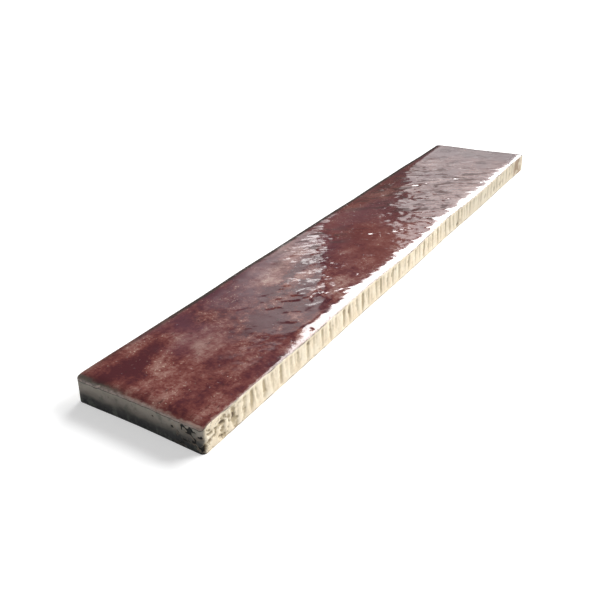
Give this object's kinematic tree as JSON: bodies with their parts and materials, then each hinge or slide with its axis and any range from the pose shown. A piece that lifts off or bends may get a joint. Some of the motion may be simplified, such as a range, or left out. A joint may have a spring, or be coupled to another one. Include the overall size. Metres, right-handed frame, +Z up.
{
  "type": "glazed tile",
  "caption": "Long narrow glazed ceramic wall tile with a cushioned maroon face, fluted raw clay sides and a keyed back.",
  "frame": {"origin": "centre of the outline at the level of the back, on which the tile lies", "axes": "+X along the length, +Y across the width, +Z up from the back through the glazed face"},
  "size_m": [0.4014, 0.0744, 0.0138],
  "materials": {
    "glazed_ceramic": "gloss"
  },
  "bodies": {
    "root": {"glazed_tile": "glazed_ceramic"}
  },
  "joints": []
}
